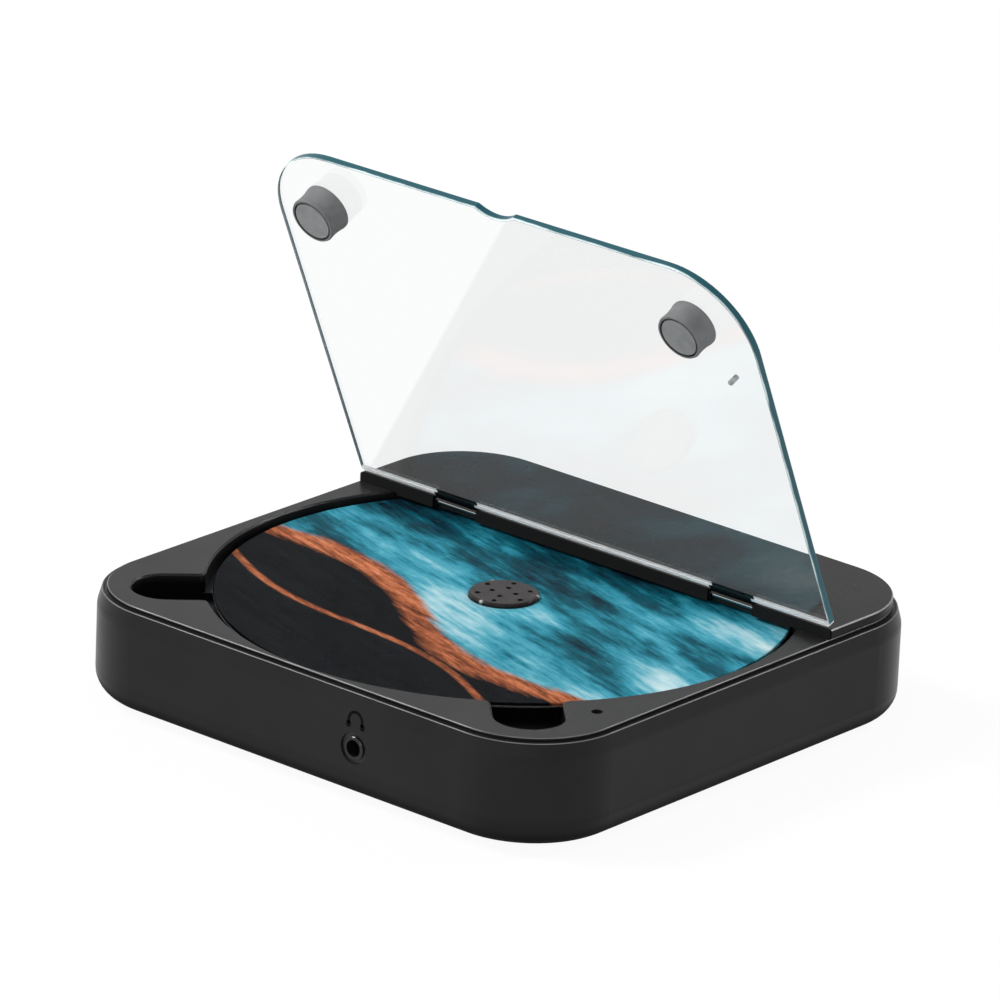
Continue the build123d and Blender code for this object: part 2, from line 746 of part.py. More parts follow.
def pickup_sled():
    u0 = lens_start - sled_lens_back
    u1 = u0 + sled_len
    z0, z1 = base_z + sled_z0, base_z + sled_z1
    body = block(u0, u1, sled_v0, sled_v1, z0, z1)
    body = fillet(body.edges().filter_by(Axis.Z), sled_corner_r)
    axis_z = base_z + rod_z
    body += x_rod(u0, u1, main_rod_v, axis_z, sled_bush_r)
    body += block(u0, u1, main_rod_v, sled_v0 + 1, axis_z - sled_bush_web, axis_z + sled_bush_r)
    arm_mid = (u0 + u1) / 2
    arm_u0, arm_u1 = arm_mid - idle_arm_w / 2, arm_mid + idle_arm_w / 2
    arm = block(arm_u0, arm_u1, sled_v1 - 1, idle_rod_v, z0, z0 + idle_arm_h)
    arm += x_rod(arm_u0, arm_u1, idle_rod_v, axis_z, idle_eye_r)
    body += arm
    nut = block(arm_mid - nut_len / 2, arm_mid + nut_len / 2, sled_v1 - 1, screw_v - screw_r - nut_reach,
                base_z + screw_z - nut_h / 2, base_z + screw_z + nut_h / 2)
    body += nut
    body -= x_rod(u0 - 1, u1 + 1, main_rod_v, axis_z, rod_r + slide_gap)
    body -= x_rod(u0 - 1, u1 + 1, idle_rod_v, axis_z, rod_r + slide_gap)
    body -= cyl(lens_start, 0, lens_well_r, z1 - lens_well_depth, z1 + 1)
    return on_mech(body)


def lens_holder():
    z0 = base_z + sled_z1 + lens_float
    holder = block(lens_start - lens_base, lens_start + lens_base, -lens_base_v, lens_base_v,
                   z0, z0 + lens_holder_h)
    holder = fillet(holder.edges().filter_by(Axis.Z), lens_base_corner)
    return on_mech(holder - cyl(lens_start, 0, lens_r, z0 - 1, z0 + 5))


def objective_lens():
    z0 = base_z + sled_z1 + lens_float
    top = z0 + lens_holder_h + lens_proud
    return on_mech(fillet(edges_at(cyl(lens_start, 0, lens_r, z0 + 0.3, top), top), 0.5))


def lead_screw():
    start = web_u0 - 0.6
    z = base_z + screw_z
    screw_body = x_rod(start, sled_bay_end - 0.4, screw_v, z, screw_r)
    for k in range(int((sled_bay_end - web_u1 - 3) / screw_pitch)):
        u = web_u1 + 2 + k * screw_pitch
        groove = x_rod(u, u + screw_pitch / 2, screw_v, z, screw_r + 1)
        groove -= x_rod(u - 1, u + screw_pitch / 2 + 1, screw_v, z, screw_r - screw_thread_depth)
        screw_body -= groove
    screw_body += x_rod(sled_bay_end - 1, frame_u1 - 1.2, screw_v, z, screw_journal_r)
    screw_body += x_rod(start - 3, start + 1, screw_v, z, screw_journal_r)
    return on_mech(screw_body)


def sled_motor():
    face = web_u0 - 0.8
    z = base_z + screw_z
    floor = base_z + frame_bottom + frame_floor
    can = x_rod(face - sled_motor_len, face, screw_v, z, sled_motor_r)
    foot = block(face - sled_motor_len + 1, face - 1, screw_v - sled_motor_foot_w / 2,
                 screw_v + sled_motor_foot_w / 2, floor, z - 1)
    bore = x_rod(face - 4, face + 1, screw_v, z, screw_journal_r + bearing_gap)
    return on_mech(can + foot - bore)


def damper_grommet(u, v):
    x, y = mech_place(u, v)
    z0 = base_z + frame_bottom
    lower = cyl(x, y, damper_r, z0 - damper_lip, z0)
    neck = cyl(x, y, damper_neck_r, z0, z0 + frame_floor)
    upper = cyl(x, y, damper_r, z0 + frame_floor, z0 + frame_floor + damper_lip)
    return lower + neck + upper - cyl(x, y, damper_bore_r, z0 - 5, z0 + 5)


def damper_screw(u, v):
    x, y = mech_place(u, v)
    seat = base_z + frame_bottom + frame_floor + damper_lip
    return screw(x, y, seat, base_z + frame_bottom - damper_lip - small_screw_bite + 0.3, up=False)


def main_board():
    z0 = base_z + board_z
    board = block(board_x0, board_x1, board_y0, board_y1, z0, board_top)
    board += block(board_tab_x, board_x0 + 1, usb_y - board_tab_front, usb_y + usb_w / 2 + board_tab_rear,
                   z0, board_top)
    for x, y in board_screws():
        board -= cyl(x, y, screw_shank_r + screw_pass_gap, z0 - 1, board_top + 1)
    return board


def board_chips():
    chips = [block(board_x0 + x, board_x0 + x + w, board_y0 + y, board_y0 + y + d, board_top, board_top + h)
             for x, y, w, d, h in chip_places]
    chips.append(block(ribbon_x0 - connector_side, ribbon_x1 + connector_side, board_y1 - connector_d - 1,
                       board_y1 - 1, board_top, board_top + connector_h))
    for x, y in capacitor_places:
        chips.append(cyl(board_x0 + x, board_y0 + y, capacitor_r, board_top, board_top + capacitor_h))
    return Compound(children=chips)


def headphone_jack():
    front = front_y - jack_nose_proud
    z = base_z + jack_z
    shoulder = front_y + wall + jack_wall_gap
    body = block(jack_x - jack_w / 2, jack_x + jack_w / 2, shoulder, shoulder + jack_len, board_top,
                 z + jack_w / 2 - 0.4)
    nose = y_rod(jack_x, front, shoulder + 1, z, jack_nose_r)
    body += chamfer(nose.faces().sort_by(Axis.Y)[0].edges(), jack_nose_chamfer)
    return body - y_rod(jack_x, front - 1, front + jack_bore_len, z, jack_bore_r)


def jack_ring():
    # A collar sunk in the shell's hole around the socket's nose
    z = base_z + jack_z
    ring = y_rod(jack_x, front_y + jack_ring_sunk, front_y + wall, z, jack_ring_r)
    return ring - y_rod(jack_x, front_y, front_y + wall + 1, z, jack_nose_r)


def usb_inlet():
    # Steel shell with an oval section, a back wall and the contact tongue
    x0 = side_x + 0.4
    z = board_top + usb_h / 2
    oval = RectangleRounded(usb_w, usb_h, usb_h / 2 - 0.01)
    inside = RectangleRounded(usb_w - 2 * usb_wall, usb_h - 2 * usb_wall, usb_h / 2 - usb_wall - 0.01)
    shell = side_prism(x0, usb_y, z, oval, usb_len) - side_prism(x0, usb_y, z, inside, usb_len - 1)
    return shell + side_prism(x0 + usb_len - 6, usb_y, z, Rectangle(usb_w - 2.3, usb_tongue), 6)


def battery():
    cell = block(battery_x0, battery_x1, battery_y0, battery_y1, inner_floor, inner_floor + battery_h)
    return fillet(cell.edges().filter_by(Axis.Z), 2.0)


def side_button(name):
    y, z = button_ys[name], base_z + button_z
    inner_face = side_x + wall + button_gap
    pill = RectangleRounded(button_w, button_h, button_h / 2 - 0.01)
    cap = side_prism(side_x - button_proud, y, z, pill, button_proud + wall + button_gap)
    cap = chamfer(cap.faces().sort_by(Axis.X)[0].edges(), 0.2)
    flange = block(inner_face, inner_face + button_flange_t,
                   y - button_w / 2 - button_flange, y + button_w / 2 + button_flange,
                   z - button_h / 2 - button_flange, z + button_h / 2 + button_flange)
    stem_end = side_board_x - tact_t - button_travel - button_gap
    stem = x_rod(inner_face + button_flange_t - 0.1, stem_end, y, z, 1.4)
    return cap + flange + stem


def power_slider():
    z = base_z + button_z
    inner_face = side_x + wall + button_gap
    knob = block(side_x - slider_proud, inner_face, slider_y - slider_knob_w / 2,
                 slider_y + slider_knob_w / 2, z - slider_knob_h / 2, z + slider_knob_h / 2)
    knob = chamfer(knob.faces().sort_by(Axis.X)[0].edges(), 0.25)
    for k in (-1, 0, 1):
        knob -= block(side_x - slider_proud - 1, side_x - slider_proud + 0.3, slider_y + k * 1.2 - 0.25,
                      slider_y + k * 1.2 + 0.25, z - slider_knob_h, z + slider_knob_h)
    flange = block(inner_face, inner_face + button_flange_t, slider_y - slider_knob_w / 2 - 1.5,
                   slider_y + slider_knob_w / 2 + 1.5, z - slider_knob_h / 2 - 1, z + slider_knob_h / 2 + 1)
    stem_end = side_board_x - tact_t - button_gap
    return knob + flange + block(inner_face + button_flange_t - 0.1, stem_end,
                                 slider_y - 1, slider_y + 1, z - 1, z + 1)


def side_board():
    return block(side_board_x, side_board_x + side_board_t, side_board_y0, side_board_y1,
                 inner_floor, inner_floor + side_board_h)


def tact_switches():
    z = base_z + button_z
    half = tact_w / 2
    pieces = [block(side_board_x - tact_t, side_board_x, y - half, y + half, z - half, z + half)
              for y in button_ys.values()]
    middle = slider_y + slider_travel / 2
    pieces.append(block(side_board_x - tact_t, side_board_x, middle - 4.5, middle + 4.5, z - half, z + half))
    return Compound(children=pieces)


def lid_switch():
    z1 = base_z + switch_top
    half = switch_w / 2
    body = block(switch_x - half, switch_x + half, switch_y - half, switch_y + half, z1 - switch_h, z1)
    body -= cyl(switch_x, switch_y, plunger_stem_r + slide_gap,
                base_z + plunger_end - switch_travel - 0.3, z1 + 1)
    return body


def switch_plunger():
    head = cyl(switch_x, switch_y, plunger_r, base_z + plunger_shoulder, base_z + plunger_top)
    head = chamfer(edges_at(head, base_z + plunger_top), 0.2)
    return head + cyl(switch_x, switch_y, plunger_stem_r, base_z + plunger_end, base_z + plunger_shoulder)


def motor_ribbon():
    # Flat cable bonded under the chassis, rising to its connector on the main board
    z0 = base_z + frame_bottom - ribbon_t
    z1 = board_top + ribbon_rise
    y1, y2, y3 = ribbon_y0 - ribbon_flat, board_y1 + 1.0, board_y1 - 1.0
    path = Polyline((ribbon_y0, z0), (y1, z0), (y2, z1), (y3, z1), (y3, z1 + ribbon_t),
                    (y2, z1 + ribbon_t), (y1, z0 + ribbon_t), (ribbon_y0, z0 + ribbon_t), (ribbon_y0, z0))
    return side_prism(ribbon_x0, 0, 0, make_face(path), ribbon_x1 - ribbon_x0)


def rubber_foot(x, y):
    foot = cyl(x, y, foot_r, 0, foot_proud + foot_recess)
    return chamfer(edges_at(foot, 0), 0.3)


os.makedirs("parts", exist_ok=True)
save("base_shell", base_shell())
save("top_deck", top_deck())
save("rear_panel", rear_panel())
save("lid_plate", lid_plate())
for word, side in (("left", -1), ("right", 1)):
    save(f"{word}_hinge_pin", hinge_pin(side))
    save(f"{word}_hinge_clip", hinge_clip(side))
    save(f"{word}_lid_bumper", bumper(side))
    save(f"{word}_lid_magnet", lid_magnet(side))
    save(f"{word}_catch_magnet", catch_magnet(side))
save("lid_pin", lid_pin())
save("compact_disc", compact_disc())
save("turntable_hub", turntable_hub())
save("hub_balls", hub_balls())
save("turntable_pad", turntable_pad())
save("spindle_shaft", spindle_shaft())
save("spindle_motor", spindle_motor())
save("mechanism_chassis", mechanism_chassis())
save("main_guide_rod", guide_rod(main_rod_v))
save("idle_guide_rod", guide_rod(idle_rod_v))
save("pickup_sled", pickup_sled())
save("lens_holder", lens_holder())
save("objective_lens", objective_lens())
save("lead_screw", lead_screw())
save("sled_motor", sled_motor())
save("damper_grommets", Compound(children=[damper_grommet(u, v) for u, v in damper_places]))
save("damper_screws", Compound(children=[damper_screw(u, v) for u, v in damper_places]))
save("main_board", main_board())
save("board_chips", board_chips())
save("board_screws", Compound(children=[
    screw(x, y, board_top, base_z + board_z - small_screw_bite + 0.3, up=False) for x, y in board_screws()]))
save("headphone_jack", headphone_jack())
save("jack_ring", jack_ring())
save("usb_inlet", usb_inlet())
save("battery", battery())
for name in button_ys:
    save(name, side_button(name))
save("power_slider", power_slider())
save("side_board", side_board())
save("tact_switches", tact_switches())
save("lid_switch", lid_switch())
save("switch_plunger", switch_plunger())
save("motor_ribbon", motor_ribbon())
for end, y in (("front", foot_front_y), ("rear", foot_rear_y)):
    for word, side in (("left", -1), ("right", 1)):
        save(f"{end}_{word}_foot", rubber_foot(side * foot_x, y))
save("case_screws", Compound(children=[
    screw(x, y, base_z + case_screw_recess, base_z + case_boss_top + case_screw_bite) for x, y in case_screws]))
save("panel_screws", Compound(children=[
    screw(x, y, deck_under, deck_z + panel_screw_bite - 0.2) for x, y in panel_screws()]))
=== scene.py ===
import math
import bpy
import numpy as np
from mathutils import Matrix


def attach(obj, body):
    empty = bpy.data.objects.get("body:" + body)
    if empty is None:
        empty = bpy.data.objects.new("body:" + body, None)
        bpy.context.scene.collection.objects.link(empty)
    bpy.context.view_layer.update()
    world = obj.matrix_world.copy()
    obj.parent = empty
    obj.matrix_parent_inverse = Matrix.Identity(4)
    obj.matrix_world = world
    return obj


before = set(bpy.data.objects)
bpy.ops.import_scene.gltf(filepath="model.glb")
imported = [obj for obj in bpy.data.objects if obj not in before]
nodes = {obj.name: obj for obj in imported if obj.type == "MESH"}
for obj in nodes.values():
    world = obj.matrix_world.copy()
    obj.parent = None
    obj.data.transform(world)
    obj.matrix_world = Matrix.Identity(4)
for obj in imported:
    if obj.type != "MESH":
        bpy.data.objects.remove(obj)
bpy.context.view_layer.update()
scene = bpy.context.scene
print("frame loaded", len(nodes), "nodes")

# the photo's view: the camera's place, the image's x and up and the way back to the camera; lens in mm
view = {
    "place": (1.09844, -1.30995, 0.67335),
    "across": (0.7556, 0.6538, 0.0405),
    "up": (-0.2548, 0.2364, 0.9376),
    "back": (0.6035, -0.7188, 0.3453),
    "lens": 319.2,
    "sensor": 36.0,
    "far": 30.0,
}


def turnedTo(across, up, back, place):
    # the three directions are the columns of the turn
    rows = [[across[k], up[k], back[k], place[k]] for k in range(3)]
    return Matrix(rows + [[0, 0, 0, 1]])


def makeCamera(v):
    cam = bpy.data.objects.new("camera", bpy.data.cameras.new("camera"))
    scene.collection.objects.link(cam)
    cam.data.lens = v["lens"]
    cam.data.sensor_width = v["sensor"]
    cam.data.clip_end = v["far"]
    cam.matrix_world = turnedTo(v["across"], v["up"], v["back"], v["place"])
    scene.camera = cam


makeCamera(view)
scene.view_settings.view_transform = "Standard"

lights = {
    "frontLeft": {"place": (-1.05, -0.62, 1.26), "aim": (0, 0, 0), "size": (0.5, 0.5), "power": 27.0},
    "rearRight": {"place": (0.62, 1.29, 1.09), "aim": (0, 0, 0.02), "size": (0.6, 0.4), "power": 12.0},
    "front": {"place": (0.9, -1.5, 1.0), "aim": (0, 0, 0.02), "size": (0.9, 0.9), "power": 6.0},
}


def makeLight(name, v):
    data = bpy.data.lights.new(name, "AREA")
    data.shape = "RECTANGLE"
    data.size, data.size_y = v["size"]
    data.energy = v["power"]
    o = bpy.data.objects.new(name, data)
    scene.collection.objects.link(o)
    place = np.array(v["place"], float)
    back = place - np.array(v["aim"], float)
    back /= np.linalg.norm(back)
    across = np.cross((0, 0, 1), back)
    across /= np.linalg.norm(across)
    o.matrix_world = turnedTo(across, np.cross(back, across), back, place)


for lightName, light in lights.items():
    makeLight(lightName, light)

backdrop = {"strength": 0.38, "shade": 0.90, "radius": 3.0, "sides": 96, "drop": 0.00005, "floorGlow": 0.94}


def lookedAt(nt):
    # 1 for the camera's own rays, reflections and light through glass, 0 for light that only lights things
    path = nt.nodes.new("ShaderNodeLightPath")
    so = path.outputs["Is Camera Ray"]
    for kind in ("Is Glossy Ray", "Is Transmission Ray"):
        both = nt.nodes.new("ShaderNodeMath")
        both.operation = "MAXIMUM"
        nt.links.new(so, both.inputs[0])
        nt.links.new(path.outputs[kind], both.inputs[1])
        so = both.outputs[0]
    return so


def makeBackdrop(v):
    # the world lights softly, and is white where the camera, gloss and glass look straight at it
    world = bpy.data.worlds.new("softRoom")
    scene.world = world
    world.use_nodes = True
    nt = world.node_tree
    bg = nt.nodes["Background"]
    strength = nt.nodes.new("ShaderNodeMapRange")
    strength.inputs["To Min"].default_value = v["strength"]
    strength.inputs["To Max"].default_value = 1.0
    nt.links.new(lookedAt(nt), strength.inputs["Value"])
    nt.links.new(strength.outputs["Result"], bg.inputs["Strength"])
    bg.inputs["Color"].default_value = (1, 1, 1, 1)


makeBackdrop(backdrop)


def meshObject(name, points, faces):
    mesh = bpy.data.meshes.new(name)
    mesh.from_pydata(np.asarray(points, float).tolist(), [], faces)
    mesh.update()
    o = bpy.data.objects.new(name, mesh)
    scene.collection.objects.link(o)
    return o


def makeFloor(v):
    # a disc of floor, white where the camera looks at it, with the object's soft shadow kept
    turn = np.linspace(0, 2 * math.pi, v["sides"] + 1)[:-1]
    ring = np.stack([v["radius"] * np.cos(turn), v["radius"] * np.sin(turn), 0 * turn - v["drop"]], -1)
    floor = meshObject("floor", ring, [list(range(len(turn)))])
    m = bpy.data.materials.new("paleFloor")
    m.use_nodes = True
    nt = m.node_tree
    nt.nodes.clear()
    out = nt.nodes.new("ShaderNodeOutputMaterial")
    matte = nt.nodes.new("ShaderNodeBsdfDiffuse")
    matte.inputs["Color"].default_value = (v["shade"],) * 3 + (1,)
    glow = nt.nodes.new("ShaderNodeEmission")
    blend = nt.nodes.new("ShaderNodeMixShader")
    share = nt.nodes.new("ShaderNodeMapRange")
    share.inputs["To Max"].default_value = v["floorGlow"]
    nt.links.new(lookedAt(nt), share.inputs["Value"])
    nt.links.new(share.outputs["Result"], blend.inputs["Fac"])
    nt.links.new(matte.outputs[0], blend.inputs[1])
    nt.links.new(glow.outputs[0], blend.inputs[2])
    nt.links.new(blend.outputs[0], out.inputs["Surface"])
    floor.data.materials.append(m)


makeFloor(backdrop)
print("view, light and floor made")


def start(name):
    # a new material with its shader, and the object's own coordinates that its pattern follows
    m = bpy.data.materials.new(name)
    m.use_nodes = True
    nt = m.node_tree
    where = nt.nodes.new("ShaderNodeTexCoord").outputs["Object"]
    return m, nt, nt.nodes["Principled BSDF"], where


def calc(nt, op, *args):
    # one Math node; an argument is a number or another node's socket
    n = nt.nodes.new("ShaderNodeMath")
    n.operation = op
    for k, a in enumerate(args):
        if isinstance(a, (int, float)):
            n.inputs[k].default_value = a
        else:
            nt.links.new(a, n.inputs[k])
    return n.outputs[0]


def length(nt, a, b):
    # square root of a a + b b
    return calc(nt, "SQRT", calc(nt, "ADD", calc(nt, "MULTIPLY", a, a), calc(nt, "MULTIPLY", b, b)))


def between(nt, value, low, high):
    # 1 where the value is over low and under high
    return calc(nt, "MULTIPLY", calc(nt, "GREATER_THAN", value, low), calc(nt, "LESS_THAN", value, high))


def blended(nt, *shares):
    # sum of share times socket
    total = calc(nt, "MULTIPLY", shares[0][1], shares[0][0])
    for share, socket in shares[1:]:
        total = calc(nt, "ADD", total, calc(nt, "MULTIPLY", socket, share))
    return total


def axes(nt, where):
    part = nt.nodes.new("ShaderNodeSeparateXYZ")
    nt.links.new(where, part.inputs[0])
    return [part.outputs[axis] for axis in "XYZ"]


def stretched(nt, where, scale, turn=(0, 0, 0), shift=(0, 0, 0)):
    n = nt.nodes.new("ShaderNodeMapping")
    n.inputs["Location"].default_value = shift
    n.inputs["Rotation"].default_value = turn
    n.inputs["Scale"].default_value = scale
    nt.links.new(where, n.inputs["Vector"])
    return n.outputs[0]


def cloud(nt, where, scale, detail, rough=0.5):
    n = nt.nodes.new("ShaderNodeTexNoise")
    n.inputs["Scale"].default_value = scale
    n.inputs["Detail"].default_value = detail
    n.inputs["Roughness"].default_value = rough
    nt.links.new(where, n.inputs["Vector"])
    return n.outputs["Fac"]


def spread(nt, value, a, b, c, d):
    # a..b becomes c..d, held at the ends
    n = nt.nodes.new("ShaderNodeMapRange")
    for k, x in zip(("From Min", "From Max", "To Min", "To Max"), (a, b, c, d)):
        n.inputs[k].default_value = x
    nt.links.new(value, n.inputs["Value"])
    return n.outputs["Result"]


def ramp(nt, value, stops):
    n = nt.nodes.new("ShaderNodeValToRGB")
    line = n.color_ramp.elements
    while len(line) < len(stops):
        line.new(0.5)
    for e, (at, colour) in zip(line, stops):
        e.position = at
        e.color = tuple(colour) + (1,)
    nt.links.new(value, n.inputs["Fac"])
    return n.outputs["Color"]


def mixed(nt, share, a, b):
    # colour a, or b where share is 1
    n = nt.nodes.new("ShaderNodeMix")
    n.data_type = "RGBA"
    sockets = [s for s in n.inputs if s.type == "RGBA"]
    for socket, v in zip(sockets, (a, b)):
        if isinstance(v, tuple):
            socket.default_value = v + (1,)
        else:
            nt.links.new(v, socket)
    nt.links.new(share, n.inputs["Factor"])
    return [s for s in n.outputs if s.type == "RGBA"][0]


def bumped(nt, shader, height, depth):
    n = nt.nodes.new("ShaderNodeBump")
    n.inputs["Strength"].default_value = 1.0
    n.inputs["Distance"].default_value = depth
    nt.links.new(height, n.inputs["Height"])
    nt.links.new(n.outputs["Normal"], shader.inputs["Normal"])


caseOutline = {"halfWide": 0.06625, "halfDeep": 0.06375, "corner": 0.0213}


def insideOutline(nt, where, inset):
    # distance inwards from the case's plan outline moved in by inset: r - |(|x| - a, |y| - b) held above 0|,
    # with r the corner radius and a, b the corner's middle; and the height z
    x, y, z = axes(nt, where)
    r = caseOutline["corner"] - inset
    past = []
    for along, half in ((x, "halfWide"), (y, "halfDeep")):
        out = calc(nt, "SUBTRACT", calc(nt, "ABSOLUTE", along), caseOutline[half] - inset - r)
        past.append(calc(nt, "MAXIMUM", out, 0.0))
    return calc(nt, "SUBTRACT", r, length(nt, *past)), z


hinge = {"y": 0.0299, "z": 0.025, "open": 66.0}


def closedLid(nt, where):
    # the place on the lid turned back about the hinge, to where it is with the lid closed
    t = math.radians(hinge["open"])
    y0, z0 = hinge["y"], hinge["z"]
    back = (0, y0 - (math.cos(t) * y0 - math.sin(t) * z0), z0 - (math.sin(t) * y0 + math.cos(t) * z0))
    return axes(nt, stretched(nt, where, (1, 1, 1), turn=(t, 0, 0), shift=back))


# the parts of a finish that some pieces have: each takes the colour and roughness so far, and returns them
# the patches and smoothness of the painted highlight along the case's edges
edgeHighlightPatches = {"scale": 130, "detail": 4, "from": (0.3, 0.65), "share": (0.55, 1.0), "smoother": 0.75}


def paintedEdgeHighlight(nt, where, colour, rough, v):
    # edges of the case with a painted highlight, a little paler and smoother in patches: within reach of the
    # outline moved in by inset, between two heights
    for inset, reach, low, high in v["edges"]:
        inside, z = insideOutline(nt, where, inset)
        edge = calc(nt, "MULTIPLY", calc(nt, "LESS_THAN", inside, reach), between(nt, z, low, high))
        patch = cloud(nt, where, edgeHighlightPatches["scale"], edgeHighlightPatches["detail"])
        edgeHighlight = calc(nt, "MULTIPLY", edge, spread(nt, patch, *edgeHighlightPatches["from"], *edgeHighlightPatches["share"]))
        # paint the highlight along the edge
        colour = mixed(nt, edgeHighlight, colour, v["edgeHighlight"])
        rough = calc(nt, "MULTIPLY", rough, spread(nt, edgeHighlight, 0, 1, 1.0, edgeHighlightPatches["smoother"]))
    return colour, rough


def jointLine(nt, where, colour, rough, v):
    # a dark line round the bumper's inner disc, by the distance from the bumper's axis
    middleX, middleY, low, high = v["ring"]
    x, y, z = closedLid(nt, where)
    dx = calc(nt, "SUBTRACT", calc(nt, "ABSOLUTE", x), middleX)
    dy = calc(nt, "SUBTRACT", y, middleY)
    return mixed(nt, between(nt, length(nt, dx, dy), low, high), colour, v["joint"]), rough


def paintedRecessShade(nt, where, colour, rough, v):
    # inside the deck's outline and under its top the walls get painted shade, and the case's rounded foot is
    # duller, with painted shade darker downwards
    inset, reach, low, high = v["recess"]
    inside, z = insideOutline(nt, where, inset)
    paintedShade = calc(nt, "MULTIPLY", calc(nt, "GREATER_THAN", inside, reach), spread(nt, z, low, high, 1.0, 0.0))
    # painted shade in the recess under the deck's top
    colour = mixed(nt, paintedShade, colour, v["paintedShade"])
    rough = calc(nt, "MAXIMUM", rough, spread(nt, z, *v["foot"], v["footRough"], 0.0))
    # painted shade on the foot, darker downwards
    return mixed(nt, spread(nt, z, *v["foot"], v["footShare"], 0.0), colour, v["paintedShade"]), rough


def paintedFaceShade(nt, where, colour, rough, v):
    # painted shade on the upright face towards the disc, and a painted shadow of the lid on the narrow ledge
    # behind it
    faceEnd, ledgeEnd = v["face"]
    y = axes(nt, where)[1]
    ledgeShadow = calc(nt, "LESS_THAN", y, ledgeEnd)
    colour = mixed(nt, ledgeShadow, colour, v["ledgeShadow"])
    rough = calc(nt, "MAXIMUM", rough, calc(nt, "MULTIPLY", ledgeShadow, v["ledgeRough"]))
    return mixed(nt, calc(nt, "LESS_THAN", y, faceEnd), colour, v["paintedShade"]), rough


extras = {"edges": paintedEdgeHighlight, "ring": jointLine, "recess": paintedRecessShade, "face": paintedFaceShade}
usual = {"patch": 60, "wander": 110, "grain": 2600, "depth": 0.00001, "metal": 0.0, "gloss": 0.5}
noise = {"patchDetail": 3, "wanderDetail": 4, "grainDetail": 2, "low": 0.3, "high": 0.7}


def plainFinish(name, own):
    # two close shades in soft patches, a roughness that wanders, and a fine grain in the surface
    v = {**usual, **own}
    m, nt, shader, where = start(name)
    at = stretched(nt, where, v["pull"]) if "pull" in v else where
    patch = cloud(nt, at, v["patch"], noise["patchDetail"])
    colour = ramp(nt, patch, [(noise["low"], v["dark"]), (noise["high"], v["light"])])
    rough = spread(nt, cloud(nt, at, v["wander"], noise["wanderDetail"]), noise["low"], noise["high"], *v["rough"])
    for extra, add in extras.items():
        if extra in v:
            colour, rough = add(nt, where, colour, rough, v)
    nt.links.new(colour, shader.inputs["Base Color"])
    nt.links.new(rough, shader.inputs["Roughness"])
    bumped(nt, shader, cloud(nt, at, v["grain"], noise["grainDetail"]), v["depth"])
    shader.inputs["Metallic"].default_value = v["metal"]
    shader.inputs["Specular IOR Level"].default_value = v["gloss"]
    return m


